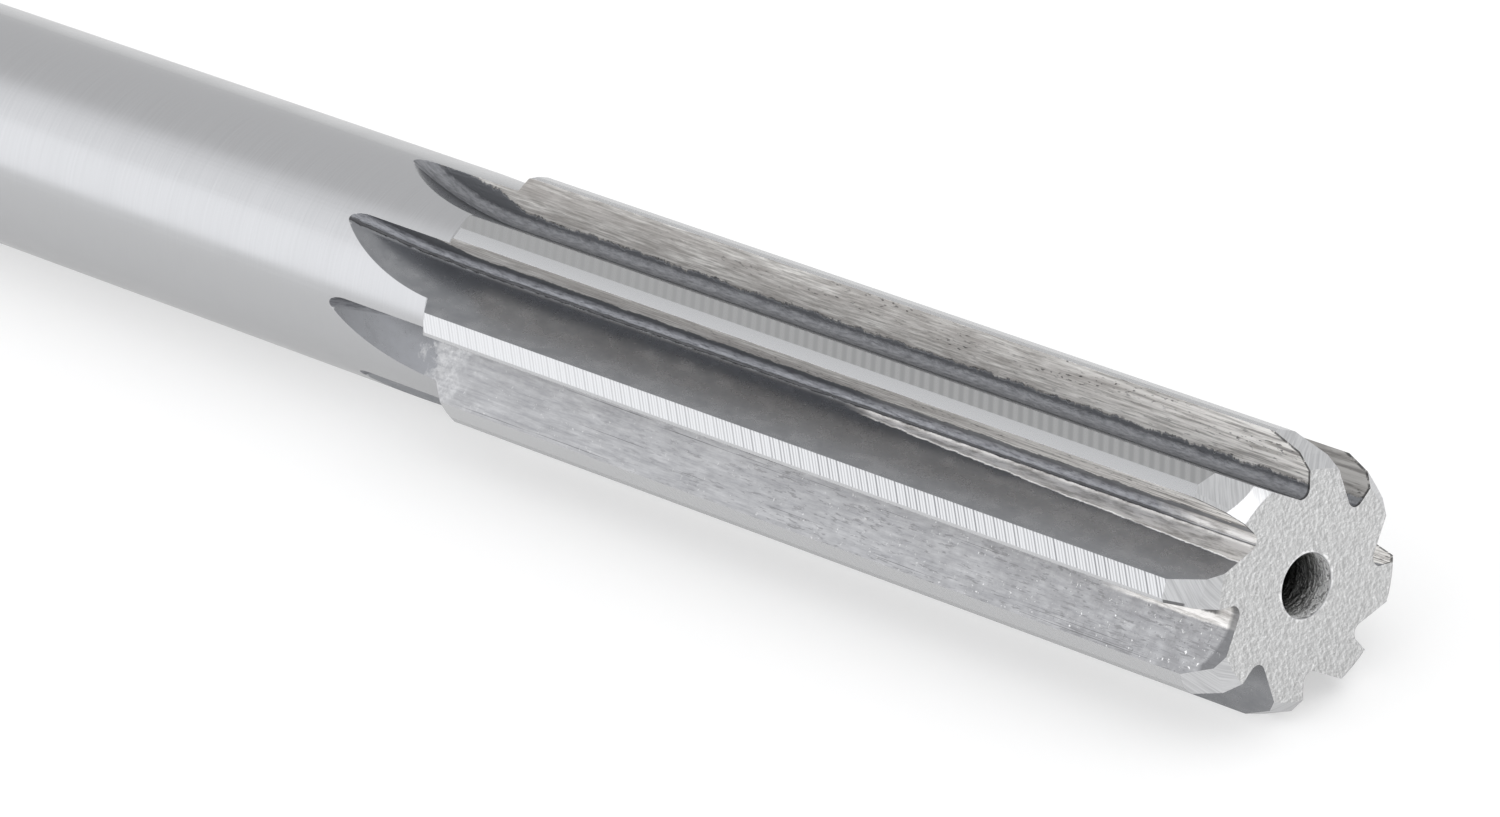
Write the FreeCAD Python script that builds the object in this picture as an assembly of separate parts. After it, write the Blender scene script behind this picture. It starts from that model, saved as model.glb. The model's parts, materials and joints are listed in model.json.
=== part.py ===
import FreeCAD, Part
import math
import os
from FreeCAD import Vector

# Machine reamer with a straight shank and eight straight flutes, right-hand cutting.
# It is ground from one bar of tool steel, so it is one solid.
#
# Millimetres. The tool's axis is X. The origin is the middle of the flat face at the cutting
# end, and the shank runs back from it towards -X. +Z is up: the reamer lies on its side, on two
# neighbouring teeth.

# Whole tool
overall_length = 203.2
cut_diameter = 12.7
flute_length = 51.4         # end face to the back of the full-diameter teeth
shank_diameter = 11.06
shoulder_angle = 45.0       # slope from the teeth down to the shank, to the axis
shank_chamfer = 0.8

# Teeth
tooth_count = 8
uneven_tooth = 4            # the tooth that is spaced unevenly, against chatter
uneven_turn = 2.0           # how far its cutting face is turned on
margin_width = 0.38         # cylindrical strip behind the cutting edge
land_width = 1.25           # cutting edge to heel
relief_angle = 12.0         # flat ground behind the margin
lead_length = 2.2           # tapered lead, from the end face
lead_angle = 19.0
lead_relief = 12.0
end_chamfer = 1.2           # 45 degree chamfer on the front of the teeth

# Gullets, cut by a wheel with one flat side that makes the radial cutting face
gullet_angle = 67.0         # cutting face to the back of the tooth in front
gullet_fillet = 0.45
wheel_radius = 20.0         # leaves the run-out in the shank

# Centre holes
tip_hole_diameter = 2.9
tip_hole_depth = 6.0
drill_point_angle = 118.0
shank_hole_diameter = 2.5
shank_hole_depth = 5.5
countersink_diameter = 5.0
countersink_angle = 60.0

# Cutting tools reach this far past the surfaces that they cut.
overrun = 1.0

cut_radius = cut_diameter / 2
shank_radius = shank_diameter / 2
shoulder_length = (cut_radius - shank_radius) / math.tan(math.radians(shoulder_angle))
shoulder_foot = -flute_length - shoulder_length
pitch = 360.0 / tooth_count
back_slope = math.radians(gullet_angle)
axis = Vector(1, 0, 0)


def polar(radius, degrees, x=0.0):
    """Point at an angle from +Y towards +Z, counter-clockwise as seen from the cutting end."""
    turn = math.radians(degrees)
    return Vector(x, radius * math.cos(turn), radius * math.sin(turn))


def turned(points):
    """Solid turned about X from a closed outline of (x, radius) points."""
    outline = [Vector(x, 0, radius) for x, radius in points]
    face = Part.Face(Part.makePolygon(outline + outline[:1]))
    return face.revolve(Vector(0, 0, 0), axis, 360)


def line(start, end):
    return Part.makeLine(start, end)


# One tooth space is drawn with a cutting face on +Y: the tooth behind that face is below it, and
# the back of the tooth in front slopes down into the space from above.
margin_turn = math.degrees(margin_width / cut_radius)
margin_end = polar(cut_radius, pitch - margin_turn)

relief_turn = pitch - margin_turn - 90 - relief_angle
heel = margin_end + polar(land_width - margin_width, relief_turn)
heel_radius = heel.Length
land_turn = pitch - math.degrees(math.atan2(heel.z, heel.y))

gullet_apex = heel.y - heel.z / math.tan(back_slope)
fillet_reach = gullet_fillet / math.tan(back_slope / 2)
fillet_centre = Vector(0, gullet_apex + fillet_reach, gullet_fillet)
fillet_on_face = Vector(0, fillet_centre.y, 0)
fillet_middle = fillet_centre - polar(gullet_fillet, gullet_angle / 2)
fillet_on_back = Vector(0, gullet_apex, 0) + polar(fillet_reach, gullet_angle)
gullet_floor = fillet_centre.y - gullet_fillet


def gullet_floor_edges(face_top):
    """The cutting face from the outside in, and the fillet at its foot."""
    return [
        line(face_top, fillet_on_face),
        Part.Arc(fillet_on_face, fillet_middle, fillet_on_back).toShape(),
    ]


def wheel_section():
    """Outline of the wheel where it cuts one gullet: flat side, rounded corner and slope."""
    rim_depth = cut_radius + overrun
    face_top = Vector(0, rim_depth, 0)
    back_top = Vector(0, rim_depth, (rim_depth - gullet_apex) * math.tan(back_slope))
    edges = gullet_floor_edges(face_top) + [
        line(fillet_on_back, back_top),
        line(back_top, face_top),
    ]
    section = Part.Face(Part.Wire(edges))
    section.translate(Vector(-flute_length, 0, 0))
    return section


def gullet():
    """Cutter for one gullet: straight along the teeth, then up out of the shank."""
    section = wheel_section()
    straight = section.extrude(Vector(flute_length + overrun, 0, 0))
    spindle = Vector(-flute_length, gullet_floor + wheel_radius, 0)
    run_out = section.revolve(spindle, Vector(0, 0, -1), 90)
    return straight.fuse(run_out)


def relief():
    """Cutter for the flat behind one margin, from the tip to the foot of the shoulder."""
    outside = cut_radius + overrun
    top = margin_end * (outside / cut_radius)
    edge_top = heel * (outside / heel_radius)
    section = Part.Face(Part.makePolygon([heel, margin_end, top, edge_top, heel]))
    section.translate(Vector(shoulder_foot, 0, 0))
    return section.extrude(Vector(overrun - shoulder_foot, 0, 0))


def lead_cutter():
    """Cutter that grinds the relieved, tapered lead on the tooth whose cutting face is on +Y."""
    along = Vector(math.cos(math.radians(lead_angle)), -math.sin(math.radians(lead_angle)), 0)
    inwards = -polar(1, 90 - lead_relief)
    outwards = Vector(0, cut_radius, 0)
    start = Vector(-lead_length, cut_radius, 0) - along * overrun
    end = start + along * (lead_length + 2 * overrun) / along.x
    face = Part.Face(Part.makePolygon([start, end, end + outwards, start + outwards, start]))
    face.translate(inwards * -gullet_fillet)
    return face.extrude(inwards * (gullet_fillet + 2 * land_width))


def around(shape):
    """The shape once for every tooth."""
    copies = []
    for index in range(tooth_count):
        turn = index * pitch
        if index == uneven_tooth:
            turn += uneven_turn
        copy = shape.copy()
        copy.rotate(Vector(0, 0, 0), axis, turn)
        copies.append(copy)
    return copies


def blank():
    """The bar as turned and ground: shank, shoulder, cutting diameter and end chamfer."""
    return turned([
        (0, 0),
        (0, cut_radius - end_chamfer),
        (-end_chamfer, cut_radius),
        (-flute_length, cut_radius),
        (shoulder_foot, shank_radius),
        (shank_chamfer - overall_length, shank_radius),
        (-overall_length, shank_radius - shank_chamfer),
        (-overall_length, 0),
    ])


def tip_hole():
    """Plain drilled centre hole in the cutting end."""
    radius = tip_hole_diameter / 2
    point = radius / math.tan(math.radians(drill_point_angle / 2))
    return turned([
        (overrun, 0),
        (overrun, radius),
        (-tip_hole_depth, radius),
        (-tip_hole_depth - point, 0),
    ])


def shank_hole():
    """Countersunk centre hole in the end of the shank."""
    radius = shank_hole_diameter / 2
    mouth = countersink_diameter / 2
    point = radius / math.tan(math.radians(drill_point_angle / 2))
    taper = (mouth - radius) / math.tan(math.radians(countersink_angle / 2))
    return turned([
        (-overall_length - overrun, 0),
        (-overall_length - overrun, mouth),
        (-overall_length, mouth),
        (-overall_length + taper, radius),
        (-overall_length + shank_hole_depth, radius),
        (-overall_length + shank_hole_depth + point, 0),
    ])


def lying_turn():
    """Turn about X that sets the reamer on the heel of one tooth and the edge of the next."""
    step = math.radians(pitch)
    land = math.radians(land_turn)
    rise = heel_radius * math.cos(land) - cut_radius * math.cos(step)
    run = cut_radius * math.sin(step) - heel_radius * math.sin(land)
    return math.degrees(math.atan2(rise, run)) - 90


def reamer():
    body = blank()
    body = body.cut(around(gullet()))
    body = body.cut(around(relief()))
    body = body.cut(around(lead_cutter()))
    body = body.cut([tip_hole(), shank_hole()])
    body = body.removeSplitter()
    body.rotate(Vector(0, 0, 0), axis, lying_turn())
    return body.Solids[0]


os.makedirs("parts", exist_ok=True)
reamer().exportStep("parts/reamer.step")
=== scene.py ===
import json
import math
import bpy
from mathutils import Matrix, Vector


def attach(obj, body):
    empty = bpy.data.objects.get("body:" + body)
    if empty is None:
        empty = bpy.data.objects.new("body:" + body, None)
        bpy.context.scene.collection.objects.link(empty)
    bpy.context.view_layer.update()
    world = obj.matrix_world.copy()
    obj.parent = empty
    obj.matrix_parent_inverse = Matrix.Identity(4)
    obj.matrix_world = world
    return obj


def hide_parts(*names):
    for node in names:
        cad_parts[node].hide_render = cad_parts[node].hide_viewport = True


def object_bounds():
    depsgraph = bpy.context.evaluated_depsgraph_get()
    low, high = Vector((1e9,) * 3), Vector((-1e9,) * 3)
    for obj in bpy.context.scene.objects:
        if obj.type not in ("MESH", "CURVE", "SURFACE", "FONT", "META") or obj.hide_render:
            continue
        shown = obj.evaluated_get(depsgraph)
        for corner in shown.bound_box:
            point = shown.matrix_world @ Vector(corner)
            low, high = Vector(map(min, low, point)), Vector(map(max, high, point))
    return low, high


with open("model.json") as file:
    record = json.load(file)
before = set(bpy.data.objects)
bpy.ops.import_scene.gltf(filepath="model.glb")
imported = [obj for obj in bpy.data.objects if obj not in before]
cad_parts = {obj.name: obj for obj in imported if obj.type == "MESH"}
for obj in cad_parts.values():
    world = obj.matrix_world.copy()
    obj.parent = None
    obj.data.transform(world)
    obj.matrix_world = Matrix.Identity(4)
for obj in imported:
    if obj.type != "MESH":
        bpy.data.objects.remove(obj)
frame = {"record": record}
cad_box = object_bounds()

# ---- Bar ----------------------------------------------------------------------------------
# The reamer is one bar of high-speed steel, turned and ground between two centre holes: a long
# shank, a short shoulder, the cutting diameter and a chamfered end. It is drawn here in
# millimetres, with its tool axis along X, and is brought to metres once it is whole.
mounts = {mount["name"]: mount for mount in frame["record"]["mounts"]}
overall_length = (cad_box[1][0] - cad_box[0][0]) * 1000
shank_radius = mounts["shank"]["dims"]["r_mm"]
tip_hole_radius = mounts["tip_centre_hole"]["dims"]["r_mm"]
tip_hole_depth = mounts["tip_centre_hole"]["dims"]["length_mm"]
cut_radius = 6.35
flute_length = 51.4
end_chamfer = 1.2
shoulder_foot = shank_radius - cut_radius - flute_length
shoulder_round = 0.4
foot_round = 0.25
tip_hole_cone = 0.86
hole_point = 0.02
rear_end = -overall_length
rear_chamfer = 0.75
rear_chamfer_length = 0.85
rear_round = 0.15
rear_hole_radius = 1.25
rear_hole_depth = 5.5
rear_hole_cone = 0.75
countersink_radius = 2.5
countersink_depth = 2.165
facets = 160
facet_turn = 0.5


def deselect_everything():
    """Leaves edit mode, with nothing selected."""
    if bpy.context.mode != "OBJECT":
        bpy.ops.object.mode_set(mode="OBJECT")
    bpy.ops.object.select_all(action="DESELECT")


def turned(name, stations, segments):
    """A solid turned about X, drawn outwards from the first (x, radius) station to the last."""
    deselect_everything()
    x, radius = stations[0]
    bpy.ops.mesh.primitive_circle_add(
        vertices=segments, radius=radius, fill_type="NGON",
        location=(x, 0, 0), rotation=(0, math.pi / 2, 0))
    piece = bpy.context.object
    piece.name = name
    bpy.ops.object.transform_apply(location=True, rotation=True, scale=True)
    bpy.ops.object.mode_set(mode="EDIT")
    bpy.ops.mesh.select_all(action="SELECT")
    for next_x, next_radius in stations[1:]:
        bpy.ops.mesh.extrude_region_move(TRANSFORM_OT_translate={"value": (next_x - x, 0, 0)})
        grow = next_radius / radius
        bpy.ops.transform.resize(value=(1, grow, grow), center_override=(next_x, 0, 0))
        x, radius = next_x, next_radius
    bpy.ops.mesh.select_all(action="SELECT")
    bpy.ops.mesh.normals_make_consistent(inside=False)
    bpy.ops.object.mode_set(mode="OBJECT")
    return piece


def rounded(x, radius, corner, start, end, steps):
    """Stations on a rounded corner, its angles taken from straight out towards +X."""
    turns = [math.radians(start + (end - start) * i / steps) for i in range(steps + 1)]
    return [(x + corner * math.sin(turn), radius + corner * math.cos(turn)) for turn in turns]


tip_hole = [
    (-tip_hole_depth - tip_hole_cone, hole_point),
    (-tip_hole_depth, tip_hole_radius)]
hole_mouth = [
    (-0.06, tip_hole_radius),
    (-0.02, tip_hole_radius + 0.015),
    (0, tip_hole_radius + 0.05)]
front_chamfer = [(0, cut_radius - end_chamfer), (-end_chamfer, cut_radius)]
shoulder_top = rounded(-flute_length + 0.17, cut_radius - shoulder_round, shoulder_round, 0, -45, 8)
shoulder_base = rounded(shoulder_foot - 0.10, shank_radius + foot_round, foot_round, 135, 180, 6)
chamfer_start = rear_end + rear_chamfer_length
rear_edge = (
    [(chamfer_start, shank_radius)]
    + rounded(chamfer_start, shank_radius - rear_round, rear_round, -9, -45, 4)
    + [(rear_end, shank_radius - rear_chamfer)])
rear_hole = [
    (rear_end, countersink_radius),
    (rear_end + countersink_depth, rear_hole_radius),
    (rear_end + rear_hole_depth, rear_hole_radius),
    (rear_end + rear_hole_depth + rear_hole_cone, hole_point)]
profile = tip_hole + hole_mouth + front_chamfer + shoulder_top + shoulder_base + rear_edge + rear_hole
reamer = turned("reamer_ground", profile, facets)

# The facets are turned a little, so that none of their edges runs along a cutting face.
reamer.rotation_euler.x = math.radians(facet_turn)
bpy.ops.object.transform_apply(location=True, rotation=True, scale=True)

# ---- Flutes -------------------------------------------------------------------------------
# Eight straight flutes are ground into the bar by a wheel with one flat side, which leaves a radial
# cutting face, a rounded floor and the sloping back of the next tooth, and lifts out of the shank
# in a long curved run-out. One tooth is set a little out of step, against chatter.
tooth_count = 8
pitch = 360 / tooth_count
uneven_tooth = 4
uneven_turn = 2
margin_width = 0.38
margin_turn = math.degrees(margin_width / cut_radius)
land_width = 1.25
relief_angle = 12
gullet_angle = 67
fillet_radius = 0.45
fillet_step = 4.71
fillet_points = 25
wheel_radius = 20
wheel_exit = 36
beyond = 1


def polar(radius, degrees):
    """(y, z) at an angle from +Y towards +Z."""
    turn = math.radians(degrees)
    return Vector((radius * math.cos(turn), radius * math.sin(turn)))


margin_end = polar(cut_radius, pitch - margin_turn)
heel = margin_end + polar(land_width - margin_width, pitch - margin_turn - 90 - relief_angle)
back_slope = math.tan(math.radians(gullet_angle))
fillet_reach = fillet_radius / math.tan(math.radians(gullet_angle / 2))
gullet_apex = heel[0] - heel[1] / back_slope
fillet_centre = Vector((gullet_apex + fillet_reach, fillet_radius))
fillet = [fillet_centre + polar(fillet_radius, -90 - fillet_step * i) for i in range(fillet_points)]


def drawn(name, points):
    """A flat outline, drawn point by point through (x, y, z) and filled."""
    deselect_everything()
    bpy.ops.mesh.primitive_plane_add(size=0.1, location=points[0])
    piece = bpy.context.object
    piece.name = name
    bpy.ops.object.transform_apply(location=True, rotation=True, scale=True)
    bpy.ops.object.mode_set(mode="EDIT")
    bpy.ops.mesh.select_all(action="SELECT")
    bpy.ops.mesh.merge(type="CENTER")
    for before, after in zip(points, points[1:]):
        step = Vector(after) - Vector(before)
        bpy.ops.mesh.extrude_vertices_move(TRANSFORM_OT_translate={"value": step})
    bpy.ops.mesh.select_all(action="SELECT")
    bpy.ops.mesh.edge_face_add()
    return piece


def closed(cutter):
    """The same cutter once for every tooth, as one mesh with its faces outwards."""
    bpy.ops.mesh.select_all(action="SELECT")
    bpy.ops.mesh.remove_doubles(threshold=0.0001)
    bpy.ops.mesh.normals_make_consistent(inside=False)
    bpy.ops.object.mode_set(mode="OBJECT")
    copies = [cutter]
    for index in range(1, tooth_count):
        deselect_everything()
        cutter.select_set(True)
        bpy.context.view_layer.objects.active = cutter
        bpy.ops.object.duplicate()
        copy = bpy.context.object
        out_of_step = uneven_turn if index == uneven_tooth else 0
        copy.rotation_euler.x = math.radians(index * pitch + out_of_step)
        bpy.ops.object.transform_apply(location=True, rotation=True, scale=True)
        copies.append(copy)
    for copy in copies:
        copy.select_set(True)
    bpy.context.view_layer.objects.active = cutter
    bpy.ops.object.join()
    return cutter


def cut_away(piece, cutter):
    """Cuts the cutter out of the piece and clears it away."""
    deselect_everything()
    piece.select_set(True)
    bpy.context.view_layer.objects.active = piece
    cut = piece.modifiers.new("cut", "BOOLEAN")
    cut.operation = "DIFFERENCE"
    cut.solver = "EXACT"
    cut.object = cutter
    bpy.ops.object.modifier_apply(modifier=cut.name)
    bpy.data.objects.remove(cutter)


# The wheel's section runs straight along the flute, and is then spun out of the shank.
rim = cut_radius + beyond
section = [Vector((rim, 0))] + fillet + [Vector((rim, (rim - gullet_apex) * back_slope))]
flute_cutter = drawn("flute_cutter", [(-flute_length, y, z) for y, z in section])
bpy.ops.mesh.extrude_region_move(TRANSFORM_OT_translate={"value": (beyond + flute_length, 0, 0)})
bpy.ops.mesh.select_mode(type="FACE")
bpy.ops.mesh.select_all(action="DESELECT")
bpy.ops.object.mode_set(mode="OBJECT")
for face in flute_cutter.data.polygons:
    face.select = abs(face.center.x + flute_length) < 0.001
bpy.ops.object.mode_set(mode="EDIT")
spindle = (-flute_length, fillet_centre[0] - fillet_radius + wheel_radius, 0)
bpy.ops.mesh.spin(steps=wheel_exit, angle=math.radians(wheel_exit), center=spindle, axis=(0, 0, 1))
bpy.ops.mesh.select_mode(type="VERT")
cut_away(reamer, closed(flute_cutter))

# Each tooth is relieved by a flat behind its narrow margin, as far as the foot of the shoulder.
past_heel = heel + (heel - margin_end) * 0.3
outside = 1.2
relief_section = (past_heel, margin_end, margin_end * outside, past_heel * outside)
relief_cutter = drawn("relief_cutter", [(shoulder_foot, y, z) for y, z in relief_section])
bpy.ops.mesh.extrude_region_move(TRANSFORM_OT_translate={"value": (beyond - shoulder_foot, 0, 0)})
cut_away(reamer, closed(relief_cutter))

# The front of each tooth is ground to a tapered, relieved lead behind the chamfer.
lead_length = 2.2
lead_angle = math.radians(19)
lead_relief = 12
before_edge = 0.45
behind_edge = 2.5
along = Vector((math.cos(lead_angle), -math.sin(lead_angle), 0))
inwards = Vector((0, *polar(-1, 90 - lead_relief)))
outwards = Vector((0, cut_radius, 0))
start = Vector((-lead_length, cut_radius, 0)) - along * beyond - inwards * before_edge
end = start + along * (lead_length + 2 * beyond) / along.x
lead_cutter = drawn("lead_cutter", [start, end, end + outwards, start + outwards])
across_tooth = inwards * (before_edge + behind_edge)
bpy.ops.mesh.extrude_region_move(TRANSFORM_OT_translate={"value": across_tooth})
cut_away(reamer, closed(lead_cutter))

# ---- Ground surfaces ----------------------------------------------------------------------
# The steel is bare and bright. Each surface keeps the marks of the wheel that made it, so each
# kind of surface has its own finish, and the faces are told apart by their place and direction.

# Every finish reads the tool's own measures from tool_frame: the point in millimetres, its place
# along the axis, its radius, its turn from the cutting face before it, the number of that
# cutting face, and its angle round the axis.
tool_frame = bpy.data.node_groups.new("tool_frame", "ShaderNodeTree")
for name, kind in (("Point", "NodeSocketVector"), ("Along", "NodeSocketFloat"),
                   ("Radius", "NodeSocketFloat"), ("Turn", "NodeSocketFloat"),
                   ("Tooth", "NodeSocketFloat"), ("Round", "NodeSocketFloat")):
    tool_frame.interface.new_socket(name=name, in_out="OUTPUT", socket_type=kind)

# The tool lies on the heel of one tooth and on the cutting edge of the next, and is turned about
# its axis until both are on the floor.
heel_turn = math.radians(pitch) - math.atan2(heel[1], heel[0])
rise = heel.length * math.cos(heel_turn) - cut_radius * math.cos(math.radians(pitch))
run = cut_radius * math.sin(math.radians(pitch)) - heel.length * math.sin(heel_turn)
lying_turn = math.atan2(rise, run) - math.pi / 2


def put(tree, kind, sockets=(), **settings):
    """A node with its settings, its sockets linked or set."""
    made = tree.nodes.new("ShaderNode" + kind)
    for name, value in settings.items():
        setattr(made, name, value)
    for socket, value in dict(sockets).items():
        if isinstance(value, bpy.types.NodeSocket):
            tree.links.new(value, made.inputs[socket])
        else:
            made.inputs[socket].default_value = value
    return made


def sum_up(tree, operation, first, second=0.0, third=0.0):
    """One step of arithmetic."""
    made = put(tree, "Math", {0: first, 1: second, 2: third}, operation=operation)
    return made.outputs[0]


def graded(tree, value, low, high, to_low=0.0, to_high=1.0, smooth=False):
    """The value taken from one range to another, and held at its ends."""
    made = put(tree, "MapRange", {"Value": value, "From Min": low, "From Max": high,
                                  "To Min": to_low, "To Max": to_high},
               interpolation_type="SMOOTHSTEP" if smooth else "LINEAR")
    return made.outputs[0]


def grain(tree, vector, scale, detail=3.0, roughness=0.5):
    """Noise from about 0 to 1."""
    made = put(tree, "TexNoise", {"Vector": vector, "Scale": scale, "Detail": detail,
                                  "Roughness": roughness})
    return made.outputs["Fac"]


def blended(tree, factor, first, second, strength=1.0):
    """The first colour, taken towards the second as far as the factor and the strength say."""
    if strength != 1.0:
        factor = sum_up(tree, "MULTIPLY", factor, strength)
    made = put(tree, "Mix", {0: factor, 6: first, 7: second}, data_type="RGBA")
    return made.outputs[2]


def stretched(tree, along, across, third=0.0):
    """A place for noise, made of measures that are scaled apart."""
    made = put(tree, "CombineXYZ", {0: along, 1: across, 2: third})
    return made.outputs[0]


place = put(tool_frame, "TexCoord").outputs["Object"]
point = put(tool_frame, "VectorMath", {0: place, "Scale": 1000.0}, operation="SCALE").outputs[0]
parts = put(tool_frame, "SeparateXYZ", {0: point})
along_axis, left, height = parts.outputs[0], parts.outputs[1], parts.outputs[2]
radius = put(tool_frame, "VectorMath", {0: stretched(tool_frame, 0.0, left, height)},
             operation="LENGTH").outputs["Value"]
around = sum_up(tool_frame, "ARCTAN2", height, left)
turn = sum_up(tool_frame, "MULTIPLY", around, 180 / math.pi)

# Each cutting face is counted from a hair's breadth past it, so that it lies in its own tooth's part.
just_past = 0.02
from_first = sum_up(tool_frame, "ADD", turn, 360 - math.degrees(lying_turn) + just_past)
in_pitches = sum_up(tool_frame, "DIVIDE", from_first, pitch)
tooth = sum_up(tool_frame, "FLOORED_MODULO", sum_up(tool_frame, "FLOOR", in_pitches), tooth_count)
in_pitch = sum_up(tool_frame, "MULTIPLY", sum_up(tool_frame, "FRACT", in_pitches), pitch)
ends = tool_frame.nodes.new("NodeGroupOutput")
for index, socket in enumerate((point, along_axis, radius, in_pitch, tooth, turn)):
    tool_frame.links.new(socket, ends.inputs[index])


def bare_steel(name):
    """A new steel finish: its tree, its shader and the tool's own coordinates."""
    material = bpy.data.materials.new(name)
    material.use_nodes = True
    tree = material.node_tree
    shader = tree.nodes["Principled BSDF"]
    shader.inputs["Metallic"].default_value = 1.0
    shader.inputs["Specular Tint"].default_value = (0.88, 0.88, 0.88, 1)
    own = put(tree, "Group", node_tree=tool_frame)
    return material, tree, shader, own.outputs


def finish(tree, shader, colour, roughness, *bumps):
    """Joins a colour, a roughness and bumps, each (height, depth in metres), to the shader."""
    edge_round = 0.00004
    tree.links.new(colour, shader.inputs["Base Color"])
    tree.links.new(roughness, shader.inputs["Roughness"])
    normal = put(tree, "Bevel", {"Radius": edge_round}, samples=4).outputs[0]
    for height_map, depth in bumps:
        sockets = {"Height": height_map, "Distance": depth, "Strength": 1.0, "Normal": normal}
        normal = put(tree, "Bump", sockets).outputs[0]
    tree.links.new(normal, shader.inputs["Normal"])


def product(tree, *factors):
    """Several factors multiplied together."""
    result = factors[0]
    for factor in factors[1:]:
        result = sum_up(tree, "MULTIPLY", result, factor)
    return result


def on_tooth(tree, own, number):
    """One from the cutting face with this number to the next cutting face, none elsewhere."""
    away = sum_up(tree, "ABSOLUTE", sum_up(tree, "SUBTRACT", own["Tooth"], number))
    return graded(tree, away, 0.1, 0.4, 1.0, 0.0)


tooth_shift = 7.3


def streaked(tree, own, along, across, detail, harshness, seed=0.0):
    """Noise drawn out along the tool, different on each tooth."""
    place = stretched(tree, sum_up(tree, "MULTIPLY", own["Along"], along),
                      sum_up(tree, "MULTIPLY", own["Radius"], across),
                      sum_up(tree, "MULTIPLY_ADD", own["Tooth"], tooth_shift, seed))
    return grain(tree, place, 1.0, detail, harshness)


def ruled(tree, first, first_scale, second, second_scale, detail, harshness, third=0.0):
    """Noise that changes at its own scale along each of two measures, so that it makes lines."""
    place = stretched(tree, sum_up(tree, "MULTIPLY", first, first_scale),
                      sum_up(tree, "MULTIPLY", second, second_scale), third)
    return grain(tree, place, 1.0, detail, harshness)


# Shank: cylindrically ground, with fine lines around it.
shank_finish, tree, shader, own = bare_steel("ground_shank")
lines = ruled(tree, own["Along"], 11.0, own["Round"], 0.012, 5.0, 0.6)
clouds = grain(tree, own["Point"], 0.35, 3.0)
colour = blended(tree, graded(tree, lines, 0.3, 0.7), (0.432, 0.434, 0.442, 1), (0.462, 0.464, 0.473, 1))
roughness = sum_up(tree, "ADD", graded(tree, lines, 0.3, 0.7, 0.20, 0.25),
                   graded(tree, clouds, 0.3, 0.7, -0.02, 0.03))
finish(tree, shader, colour, roughness, (lines, 0.0000005))

# Cutting faces: ground along the flute a little way down from the edge, brownish, scored and
# pitted. A ragged dark line parts them from the first, darker cut below, and lies deeper on one
# tooth. Painted shade lies as a thin dark line along the edges at the front.
face_finish, tree, shader, own = bare_steel("cutting_face")
foot_radius = 4.55
scores = streaked(tree, own, 0.5, 8.0, 6.0, 0.7)
gouges = streaked(tree, own, 0.18, 5.0, 4.0, 0.6, 3.1)
patches = streaked(tree, own, 0.16, 1.3, 4.0, 0.6)
pits = streaked(tree, own, 2.6, 9.0, 2.0, 0.5)
tip = graded(tree, own["Along"], -22.0, -2.0)
pitted = product(tree, graded(tree, pits, 0.60, 0.65), graded(tree, patches, 0.50, 0.58),
                 graded(tree, own["Along"], -45.0, -28.0, 0.1, 0.9))
meander = ruled(tree, own["Along"], 0.45, own["Tooth"], tooth_shift, 4.0, 0.6)
jagged = ruled(tree, own["Along"], 3.2, own["Radius"], 2.0, 4.0, 0.75,
               sum_up(tree, "MULTIPLY", own["Tooth"], tooth_shift))
rising = graded(tree, own["Along"], -55.2, -50.5, 0.95, 0.0, smooth=True)
deeper = sum_up(tree, "MULTIPLY", on_tooth(tree, own, 4.0), 0.27)
foot = sum_up(tree, "SUBTRACT", own["Radius"], sum_up(tree, "ADD", rising, deeper))
foot = sum_up(tree, "ADD", foot, graded(tree, meander, 0.3, 0.7, -0.13, 0.13))
foot = sum_up(tree, "ADD", foot, graded(tree, jagged, 0.25, 0.75, -0.13, 0.13))
thick = graded(tree, streaked(tree, own, 0.9, 0.0, 4.0, 0.7, 5.0), 0.38, 0.62, 0.01, 0.11)
dark_foot = product(tree, graded(tree, foot, foot_radius, foot_radius + 0.05, 1.0, 0.0),
                    graded(tree, sum_up(tree, "ADD", foot, thick), foot_radius + 0.01, foot_radius + 0.11))
below = graded(tree, foot, foot_radius - 0.02, foot_radius + 0.03, 1.0, 0.0)
# Painted shade: a thin dark line along the front edges of the cutting faces, broken up by noise.
lead_start = cut_radius - lead_length * math.tan(lead_angle)
front = sum_up(tree, "MULTIPLY_ADD", own["Along"], math.tan(lead_angle), own["Radius"])
front = graded(tree, front, lead_start - 0.14, lead_start - 0.09)
corner = sum_up(tree, "ADD", own["Along"], own["Radius"])
corner = graded(tree, corner, cut_radius - end_chamfer - 0.19, cut_radius - end_chamfer - 0.13)
painted_edge_shade = sum_up(tree, "MAXIMUM", front, corner)
painted_edge_shade = sum_up(tree, "MAXIMUM", painted_edge_shade, graded(tree, own["Along"], -0.15, -0.1))
painted_edge_shade = product(tree, painted_edge_shade, graded(tree, jagged, 0.40, 0.50))
chips = product(tree, graded(tree, streaked(tree, own, 1.1, 7.0, 3.0, 0.6, 9.0), 0.60, 0.66),
                graded(tree, own["Along"], -34.0, -16.0, 0.0, 0.75))
# Painted highlight on the gouges near the tip, and painted shade on their darker parts.
shine = product(tree, tip, graded(tree, gouges, 0.44, 0.56))
shade = product(tree, tip, graded(tree, gouges, 0.44, 0.36))
colour = blended(tree, graded(tree, scores, 0.38, 0.62), (0.50, 0.48, 0.46, 1), (0.96, 0.943, 0.915, 1))
colour = blended(tree, chips, colour, (0.24, 0.232, 0.226, 1))
colour = blended(tree, graded(tree, patches, 0.38, 0.60), colour, (0.50, 0.473, 0.452, 1), 0.55)
colour = blended(tree, shine, colour, (1.0, 0.98, 0.955, 1))
colour = blended(tree, shade, colour, (0.34, 0.33, 0.325, 1), 0.7)
colour = blended(tree, pitted, colour, (0.10, 0.098, 0.095, 1), 0.8)
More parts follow.
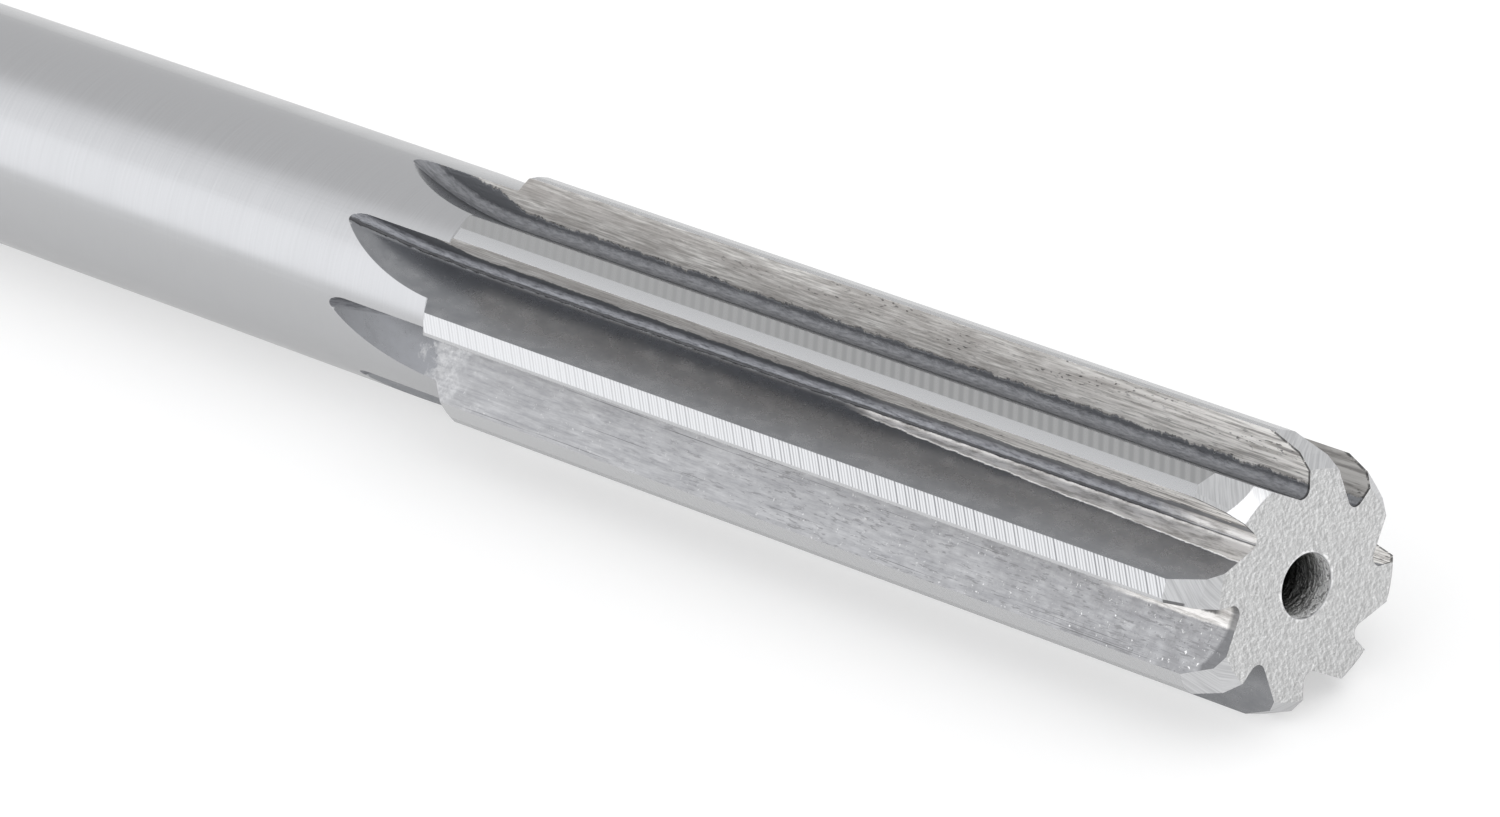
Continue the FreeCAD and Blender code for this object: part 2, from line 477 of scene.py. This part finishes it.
# Painted shade: one cutting face is painted darker all over.
colour = blended(tree, on_tooth(tree, own, 2.0), colour, (0.20, 0.195, 0.19, 1), 0.55)
colour = blended(tree, below, colour, (0.24, 0.246, 0.26, 1))
colour = blended(tree, dark_foot, colour, (0.05, 0.05, 0.052, 1), 0.72)
colour = blended(tree, painted_edge_shade, colour, (0.06, 0.06, 0.06, 1), 0.8)
roughness = sum_up(tree, "SUBTRACT", graded(tree, scores, 0.3, 0.7, 0.74, 0.62),
                   sum_up(tree, "MULTIPLY", below, 0.28))
finish(tree, shader, colour, roughness, (scores, 0.000009), (gouges, 0.00001), (pitted, -0.00001),
       (dark_foot, -0.00003))

# Gullets: the rounded floor and the backs of the teeth, dark from the first cut, with painted
# shade that darkens them towards the root.
gullet_finish, tree, shader, own = bare_steel("ground_gullet")
streaks = streaked(tree, own, 0.55, 7.0, 6.0, 0.68)
mottle = streaked(tree, own, 0.8, 2.0, 5.0, 0.65)
blotches = grain(tree, own["Point"], 1.1, 4.0, 0.65)
specks = grain(tree, own["Point"], 4.2, 3.0, 0.7)
rough = ruled(tree, own["Along"], 1.6, own["Turn"], 0.9, 6.0, 0.75,
              sum_up(tree, "MULTIPLY", own["Tooth"], tooth_shift))
rough_light = graded(tree, rough, 0.36, 0.62)
near_tip = graded(tree, own["Along"], -30.0, -3.0)
nearer_tip = graded(tree, near_tip, 0.3, 1.0)
speckled = graded(tree, specks, 0.64, 0.70)
wavering = graded(tree, streaked(tree, own, 0.7, 0.0, 5.0, 0.7), 0.25, 0.75, -1.0, 1.0)
reground_tooth = on_tooth(tree, own, 5.0)
banded_tooth = on_tooth(tree, own, 4.0)
dark = blended(tree, graded(tree, mottle, 0.3, 0.7), (0.24, 0.245, 0.259, 1), (0.305, 0.309, 0.32, 1))
dark = blended(tree, graded(tree, specks, 0.68, 0.74), dark, (0.5, 0.5, 0.51, 1), 0.5)
# Painted shade: the backs are painted darker towards the root of the gullet.
root_shade = graded(tree, own["Radius"], 4.0, 4.75, 0.50, 0.0, smooth=True)
dark = blended(tree, root_shade, dark, (0.085, 0.087, 0.092, 1))
in_floor = graded(tree, own["Turn"], 5.6, 7.0, 1.0, 0.0)
floor_steel = blended(tree, rough_light, (0.13, 0.134, 0.148, 1), (0.31, 0.315, 0.332, 1))
floor_light = product(tree, banded_tooth, graded(tree, rough_light, 0.0, 1.0, 0.15, 0.8))
floor_steel = blended(tree, floor_light, floor_steel, (0.46, 0.468, 0.50, 1))
dark = blended(tree, in_floor, dark, floor_steel)
dark = blended(tree, on_tooth(tree, own, 3.0), dark, (0.45, 0.452, 0.458, 1), 0.18)
stains = product(tree, reground_tooth, graded(tree, mottle, 0.35, 0.65, 0.1, 0.5))
dark = blended(tree, stains, dark, (0.10, 0.102, 0.11, 1))

# One back was ground again later, up to a ragged, smeared end. It is pale, with short dashes,
# blotches, specks and a few long scratches.
dashes = product(tree, graded(tree, streaked(tree, own, 1.5, 11.0, 3.0, 0.6, 9.0), 0.57, 0.64),
                 graded(tree, own["Along"], -46.0, -28.0, 0.1, 0.75))
blotched = product(tree, graded(tree, blotches, 0.42, 0.62), graded(tree, nearer_tip, 0.0, 1.0, 0.25, 0.75))
glints = product(tree, speckled, graded(tree, near_tip, 0.0, 1.0, 0.35, 0.95))
dark_specks = product(tree, graded(tree, specks, 0.38, 0.31), nearer_tip)
scratch = streaked(tree, own, 0.11, 24.0, 1.0, 0.5)
ragged_end = sum_up(tree, "ADD", sum_up(tree, "MULTIPLY", wavering, 0.8),
                    graded(tree, blotches, 0.3, 0.7, -1.6, 1.6))
from_end = sum_up(tree, "ADD", ragged_end, own["Along"])
smears = product(tree, graded(tree, from_end, -54.2, -53.0), graded(tree, from_end, -51.6, -50.0, 1.0, 0.0),
                 graded(tree, specks, 0.42, 0.56))
reground = product(tree, graded(tree, from_end, -53.4, -52.4), reground_tooth)
pale = blended(tree, graded(tree, streaks, 0.3, 0.7), (0.30, 0.302, 0.314, 1), (0.48, 0.48, 0.488, 1))
pale = blended(tree, dashes, pale, (0.22, 0.22, 0.225, 1))
pale = blended(tree, blotched, pale, (0.27, 0.27, 0.278, 1))
# Painted glints: bright specks, more of them towards the tip.
pale = blended(tree, glints, pale, (0.92, 0.92, 0.92, 1))
pale = blended(tree, dark_specks, pale, (0.16, 0.16, 0.165, 1), 0.6)
pale = blended(tree, graded(tree, scratch, 0.71, 0.75), pale, (0.12, 0.12, 0.125, 1), 0.75)
pale = blended(tree, smears, pale, (0.70, 0.70, 0.70, 1), 0.28)

# The next back has a bright, streaked band beside its floor. The band starts 26 mm from the end
# and widens to the tip, where the floor is bright too. Ragged dark seams edge that floor.
bright = blended(tree, graded(tree, streaks, 0.36, 0.56), (0.44, 0.425, 0.41, 1), (0.90, 0.885, 0.87, 1))
band_start = -26.0
widening = sum_up(tree, "POWER", graded(tree, own["Along"], band_start, 0.0), 0.9)
band = sum_up(tree, "ADD", sum_up(tree, "MULTIPLY_ADD", wavering, 0.06, 4.02),
              sum_up(tree, "MULTIPLY", widening, 0.52))
in_band = graded(tree, sum_up(tree, "SUBTRACT", own["Radius"], band), -0.03, 0.02, 1.0, 0.0)
in_band = product(tree, in_band, graded(tree, own["Turn"], 7.0, 7.6),
                  graded(tree, own["Along"], band_start, band_start + 2.0), banded_tooth)
unsteady = sum_up(tree, "ADD", own["Turn"], graded(tree, rough, 0.3, 0.7, -0.9, 0.9))
to_tip = graded(tree, sum_up(tree, "MULTIPLY_ADD", wavering, 1.5, own["Along"]), -6.5, -3.5)
bright_floor = product(tree, in_floor, to_tip, banded_tooth, 0.9)
seam = product(tree, graded(tree, unsteady, 5.4, 6.0), graded(tree, unsteady, 7.2, 7.7, 1.0, 0.0),
               banded_tooth)
faded_seam = product(tree, seam, graded(tree, to_tip, 0.0, 1.0, 0.8, 0.25))
upper_seam = product(tree, graded(tree, unsteady, 0.4, 0.9, 1.0, 0.0), banded_tooth)

# At the tip, the root beside the pale back is bright with a dark line under it, the pale back
# rolls over into an edge darkened by painted shade, and four of the gullets end in a thin dark line of
# painted shade.
root = sum_up(tree, "MULTIPLY_ADD", wavering, 0.07, own["Radius"])
in_root = product(tree, graded(tree, root, 4.36, 4.42, 1.0, 0.0), graded(tree, own["Along"], -8.5, -6.0),
                  reground_tooth)
under = product(tree, graded(tree, root, 4.11, 4.16, 1.0, 0.0), graded(tree, own["Along"], -7.0, -5.0),
                graded(tree, own["Along"], -1.4, -1.0, 1.0, 0.0), reground_tooth)
# Painted shade on the edge where the pale back rolls over.
rolled = sum_up(tree, "MULTIPLY", sum_up(tree, "POWER", graded(tree, own["Radius"], 4.3, 5.7), 1.6), 0.85)
rolled = sum_up(tree, "ADD", own["Along"], sum_up(tree, "ADD", rolled, 0.42))
rolled = product(tree, graded(tree, rolled, -0.12, 0.12), reground_tooth)
# Painted shade: a thin dark line where four of the gullets end at the tip.
ending = product(tree, graded(tree, own["Along"], -0.17, -0.1), graded(tree, rough, 0.36, 0.44),
                 graded(tree, own["Tooth"], 3.2, 3.6, 1.0, 0.0))
colour = blended(tree, reground, dark, pale)
colour = blended(tree, bright_floor, colour, bright)
colour = blended(tree, in_band, colour, bright)
colour = blended(tree, in_root, colour, bright)
colour = blended(tree, under, colour, (0.09, 0.09, 0.092, 1), 0.85)
colour = blended(tree, faded_seam, colour, (0.05, 0.05, 0.052, 1))
colour = blended(tree, upper_seam, colour, (0.05, 0.05, 0.052, 1), 0.8)
colour = blended(tree, rolled, colour, (0.15, 0.152, 0.158, 1), 0.75)
colour = blended(tree, ending, colour, (0.05, 0.05, 0.05, 1), 0.85)
ground_again = sum_up(tree, "MAXIMUM", reground, sum_up(tree, "MAXIMUM", in_band, in_root))
roughness = sum_up(tree, "ADD", graded(tree, mottle, 0.3, 0.7, 0.32, 0.24),
                   sum_up(tree, "MULTIPLY", sum_up(tree, "MAXIMUM", ground_again, in_floor), 0.2))
depth = product(tree, streaks, graded(tree, ground_again, 0.0, 1.0, 0.12, 1.0))
lumpy = product(tree, rough, in_floor)
finish(tree, shader, colour, roughness, (depth, 0.000008), (speckled, 0.000005), (lumpy, 0.00005),
       (in_band, 0.00004), (seam, -0.00003))

# Relief behind the margins: slanting lines from the cup wheel, three to each turn of the work
# on the tooth that shows them sharpest, and one broad bar to each turn on the next.
relief_finish, tree, shader, own = bare_steel("ground_relief")
work_turn = 0.634
sharpest_tooth = on_tooth(tree, own, 4.0)
barred_tooth = on_tooth(tree, own, 3.0)
lean = graded(tree, sharpest_tooth, 0.0, 1.0, -0.10, -0.06)
slant = sum_up(tree, "MULTIPLY_ADD", own["Turn"], lean, own["Along"])
turns = sum_up(tree, "MULTIPLY", slant, 2 * math.pi / work_turn)
once = sum_up(tree, "COSINE", turns)
twice = sum_up(tree, "COSINE", sum_up(tree, "MULTIPLY_ADD", turns, 2.0, 0.8))
thrice = sum_up(tree, "COSINE", sum_up(tree, "MULTIPLY_ADD", turns, 3.0, 0.4))
lines = sum_up(tree, "MULTIPLY_ADD", once, 0.22, sum_up(tree, "MULTIPLY_ADD", twice, 0.42, thrice))
each_line = ruled(tree, slant, 4.7, own["Tooth"], 4.7, 2.0, 0.6)
sharp = graded(tree, own["Along"], -46.0, -20.0, 0.3, 1.0)
thin = product(tree, graded(tree, lines, -0.3, 1.0), graded(tree, each_line, 0.36, 0.56, 0.55, 1.0),
               graded(tree, sharpest_tooth, 0.0, 1.0, 0.1, 1.0),
               graded(tree, barred_tooth, 0.0, 1.0, 1.0, 0.0))
bars = product(tree, graded(tree, once, -0.8, 0.8, 0.0, 0.48), barred_tooth)
marked = product(tree, sum_up(tree, "ADD", thin, bars), sharp)
colour = blended(tree, marked, (0.535, 0.537, 0.543, 1), (0.235, 0.237, 0.245, 1))
colour = blended(tree, barred_tooth, colour, (0.29, 0.29, 0.288, 1), 0.5)
roughness = graded(tree, marked, 0.0, 1.0, 0.27, 0.36)
finish(tree, shader, colour, roughness, (marked, -0.000003))

# Margins: a narrow polished strip of the cutting diameter.
margin_finish, tree, shader, own = bare_steel("margin")
faint = ruled(tree, own["Along"], 5.0, own["Turn"], 0.3, 4.0, 0.6)
colour = blended(tree, graded(tree, faint, 0.3, 0.7), (0.46, 0.462, 0.47, 1), (0.482, 0.484, 0.492, 1))
roughness = graded(tree, faint, 0.3, 0.7, 0.24, 0.30)
finish(tree, shader, colour, roughness, (faint, 0.0000002))

# Lead and chamfers: ground smooth, with a few slanting lines. One lead has a short dark strip
# beside its edge.
lead_finish, tree, shader, own = bare_steel("ground_lead")
slant = sum_up(tree, "MULTIPLY_ADD", own["Turn"], -0.085, own["Along"])
marks = ruled(tree, slant, 9.0, own["Turn"], 0.05, 3.0, 0.7, sum_up(tree, "MULTIPLY", own["Tooth"], 4.7))
colour = blended(tree, graded(tree, marks, 0.38, 0.60), (0.49, 0.492, 0.50, 1), (0.63, 0.632, 0.64, 1))
strip = product(tree, graded(tree, own["Turn"], 43.7, 43.9), on_tooth(tree, own, 4.0),
                graded(tree, own["Along"], -2.3, -2.2), graded(tree, own["Along"], -1.3, -1.2, 1.0, 0.0))
colour = blended(tree, strip, colour, (0.10, 0.10, 0.102, 1), 0.85)
roughness = graded(tree, marks, 0.3, 0.7, 0.30, 0.38)
finish(tree, shader, colour, roughness, (marks, 0.000006))

# End faces: faced flat and left with a coarse pebbled grain, worn round the centre hole, where the worn rim
# is painted pale as a painted highlight.
# Each pebble has a painted highlight on one side and painted shade on the other, and fine bright specks are
# painted glints.
end_finish, tree, shader, own = bare_steel("faced_end")
pebbles = grain(tree, own["Point"], 2.4, 3.0, 0.62)
swirl = sum_up(tree, "MULTIPLY_ADD", grain(tree, own["Point"], 1.2, 2.0), 0.8, own["Radius"])
rings = ruled(tree, swirl, 4.0, own["Round"], 0.03, 3.0, 0.6)
fine = grain(tree, own["Point"], 5.5, 3.0, 0.6)
# Painted highlight and painted shade on each pebble, from the difference of two offset noises.
beside = put(tree, "VectorMath", {0: own["Point"], 1: (0.0, -0.06, 0.06)}, operation="ADD").outputs[0]
lit_side = sum_up(tree, "SUBTRACT", grain(tree, own["Point"], 4.4, 3.0, 0.6),
                  grain(tree, beside, 4.4, 3.0, 0.6))
# A ring round the centre hole, worn and painted pale as a painted highlight.
worn_highlight_radius = tip_hole_radius + 0.08
worn_highlight_rim = sum_up(tree, "ADD", own["Radius"], graded(tree, fine, 0.3, 0.7, -0.10, 0.10))
worn_highlight_rim = product(tree, graded(tree, worn_highlight_rim, worn_highlight_radius, worn_highlight_radius + 0.07, 0.9, 0.0),
                   graded(tree, pebbles, 0.44, 0.56))
colour = blended(tree, graded(tree, pebbles, 0.38, 0.60), (0.52, 0.52, 0.52, 1), (0.61, 0.61, 0.61, 1))
colour = blended(tree, graded(tree, lit_side, 0.01, 0.13), colour, (0.95, 0.95, 0.95, 1), 0.38)
colour = blended(tree, graded(tree, lit_side, -0.01, -0.13), colour, (0.30, 0.30, 0.30, 1), 0.34)
colour = blended(tree, graded(tree, rings, 0.36, 0.28), colour, (0.33, 0.33, 0.33, 1), 0.5)
# Painted glints: fine bright specks.
colour = blended(tree, graded(tree, fine, 0.60, 0.68), colour, (0.95, 0.95, 0.95, 1), 0.6)
colour = blended(tree, worn_highlight_rim, colour, (0.95, 0.95, 0.95, 1))
roughness = graded(tree, fine, 0.3, 0.7, 0.46, 0.30)
finish(tree, shader, colour, roughness, (pebbles, 0.00012), (rings, 0.00005), (fine, 0.00004))

# Centre holes: drilled, with rough rings around the wall, painted pale at the mouth as painted light and
# painted dark further down as painted shade.
hole_finish, tree, shader, own = bare_steel("drilled_hole")
depth = sum_up(tree, "MINIMUM", sum_up(tree, "MULTIPLY", own["Along"], -1.0),
               sum_up(tree, "ADD", own["Along"], overall_length))
torn = grain(tree, own["Point"], 4.6, 4.0, 0.7)
drill_rings = ruled(tree, own["Along"], 3.6, own["Round"], 0.012, 3.0, 0.6)
reach = sum_up(tree, "ADD", depth, graded(tree, torn, 0.3, 0.7, -0.3, 0.3))
colour = blended(tree, graded(tree, drill_rings, 0.38, 0.58), (0.42, 0.42, 0.415, 1), (1.0, 1.0, 0.99, 1))
# Painted light: the wall is painted pale near the mouth.
colour = blended(tree, graded(tree, reach, 0.4, 0.9, 1.0, 0.0), colour, (1.0, 1.0, 1.0, 1), 0.9)
colour = blended(tree, graded(tree, torn, 0.50, 0.40), colour, (0.15, 0.15, 0.148, 1), 0.7)
# Painted shade: the wall is painted dark further down the hole.
colour = blended(tree, graded(tree, reach, 0.7, 2.5), colour, (0.05, 0.053, 0.05, 1))
roughness = graded(tree, reach, 0.4, 1.2, 0.7, 0.4)
finish(tree, shader, colour, roughness, (drill_rings, 0.0001), (torn, 0.00015))

finishes = [shank_finish, face_finish, gullet_finish, relief_finish, margin_finish, lead_finish,
            end_finish, hole_finish]
for material in finishes:
    reamer.data.materials.append(material)


def faces_along(normal, local_angle):
    """Whether a face points this many degrees from one of the cutting faces' planes."""
    facing = math.degrees(math.atan2(normal.z, normal.y))
    nearly = 0.4
    for out_of_step in (0, uneven_turn):
        away = (facing - local_angle - out_of_step + pitch / 2) % pitch - pitch / 2
        if abs(away) < nearly:
            return True
    return False


def finish_of(face):
    """The finish that a face has, from its middle and its direction in the tool's own axes."""
    middle, normal = face.center, face.normal
    out = math.hypot(middle.y, middle.z)
    corners = [reamer.data.vertices[index].co for index in face.vertices]
    widest = max(math.hypot(corner.y, corner.z) for corner in corners)
    upright = (normal.y * middle.y + normal.z * middle.z) / out
    looks_out = upright > 0.3
    hole_rim = widest < tip_hole_radius + 0.15 and middle.x > -0.05
    hole_wall = widest < countersink_radius + 0.05
    shank_side = middle.x < shoulder_foot - 0.1 and out > shank_radius - 0.02
    rear_edges = middle.x < rear_end + rear_chamfer_length + 0.05
    shoulder_slope = normal.x < -0.1 and looks_out
    lead_slope = middle.x > -lead_length - 0.4 and normal.x > 0.15 and looks_out
    cylinder_strip = out > cut_radius - 0.03 and upright > 0.99
    tooth_top = widest > cut_radius - 0.25 and upright > 0.9
    radial_flat = abs(upright) < 0.2 and abs(normal.x) < 0.02
    if hole_rim:
        return lead_finish
    if hole_wall:
        return hole_finish
    if abs(normal.x) > 0.97:
        return end_finish
    if shank_side or rear_edges or shoulder_slope:
        return shank_finish
    if lead_slope:
        return lead_finish
    if cylinder_strip:
        return margin_finish
    if tooth_top and faces_along(normal, pitch - margin_turn - relief_angle):
        return relief_finish
    if radial_flat and faces_along(normal, 0):
        return face_finish
    return gullet_finish


for face in reamer.data.polygons:
    face.material_index = finishes.index(finish_of(face))

# The whole tool is brought to metres and laid down.
deselect_everything()
reamer.select_set(True)
bpy.context.view_layer.objects.active = reamer
reamer.scale = (0.001, 0.001, 0.001)
reamer.rotation_euler.x = lying_turn
bpy.ops.object.transform_apply(location=True, rotation=True, scale=True)
smooth_angle = 7
bpy.ops.object.shade_smooth_by_angle(angle=math.radians(smooth_angle))
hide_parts("reamer")
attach(reamer, "root")

# ---- Studio -------------------------------------------------------------------------------
# A white table, a pale room and four large soft lamps. Three of them overlap behind the far end
# of the shank, so that the light along it fades evenly, and one stands above the cutting end.
table_size = 6.0
table_grey = 0.52
table_glow = 0.52
deselect_everything()
bpy.ops.mesh.primitive_plane_add(size=table_size, location=(-0.1, 0, cad_box[0][2]))
floor = bpy.context.object
floor.name = "floor"
table = bpy.data.materials.new("white_table")
table.use_nodes = True
tree = table.node_tree
shader = tree.nodes["Principled BSDF"]
shader.inputs["Base Color"].default_value = (table_grey, table_grey, table_grey, 1)
shader.inputs["Roughness"].default_value = 0.9
shader.inputs["Specular IOR Level"].default_value = 0.1
shader.inputs["Emission Color"].default_value = (1, 1, 1, 1)

# The table glows only where it is looked at or mirrored, so it reads as white and lights nothing.
rays = put(tree, "LightPath")
seen = sum_up(tree, "MAXIMUM", rays.outputs["Is Camera Ray"], rays.outputs["Is Glossy Ray"])
seen = sum_up(tree, "MAXIMUM", seen, rays.outputs["Is Transmission Ray"])
tree.links.new(sum_up(tree, "MULTIPLY", seen, table_glow), shader.inputs["Emission Strength"])
floor.data.materials.append(table)

world = bpy.data.worlds.new("pale_room")
bpy.context.scene.world = world
world.use_nodes = True
room = world.node_tree.nodes["Background"]
room.inputs["Color"].default_value = (0.99, 0.995, 1.0, 1)
room.inputs["Strength"].default_value = 0.9


def soft_lamp(name, direction, distance, size, brightness, colour):
    """A soft rectangular lamp that faces the tool. A brightness of 1 looks plain white."""
    data = bpy.data.lights.new(name, "AREA")
    data.shape = "RECTANGLE"
    data.size, data.size_y = size
    data.energy = brightness * math.pi * size[0] * size[1]
    data.color = colour
    lamp = bpy.data.objects.new(name, data)
    bpy.context.collection.objects.link(lamp)
    lamp.location = Vector(direction).normalized() * distance
    lamp.rotation_euler = Vector(direction).to_track_quat("Z", "Y").to_euler()


shank_lamp_distance = 2.1
shank_lamp_width = 2.4
shank_lamp_brightness = 0.28
cool_white = (0.96, 0.97, 1.0)
for name, lamp_turn, lamp_height in (
        ("low_lamp", 158, 1.05), ("middle_lamp", 148, 1.61), ("high_lamp", 137, 2.3)):
    towards_lamp = (-0.713, *polar(0.701, lamp_turn))
    soft_lamp(name, towards_lamp, shank_lamp_distance, (shank_lamp_width, lamp_height),
              shank_lamp_brightness, cool_white)
soft_lamp("tip_lamp", direction=(0.66, 0.0, 0.75), distance=1.6, size=(1.0, 1.0), brightness=1.6,
          colour=(1.0, 1.0, 1.0))

# ---- Camera -------------------------------------------------------------------------------
# A long lens, in front of the cutting end and above it, rolled so that the tool runs down from
# the upper left to the lower right.
lens = bpy.data.cameras.new("camera")
lens.sensor_width = 36
lens.lens = 249.2256
lens.clip_end = 100
camera = bpy.data.objects.new("camera", lens)
bpy.context.collection.objects.link(camera)
camera.location = (0.298037, -0.235975, 0.227271)
camera.rotation_euler = [math.radians(turned_by) for turned_by in (59.97508, 13.06331, 47.34532)]
bpy.context.view_layer.update()
bpy.context.scene.camera = camera
bpy.context.scene.view_settings.view_transform = "Standard"
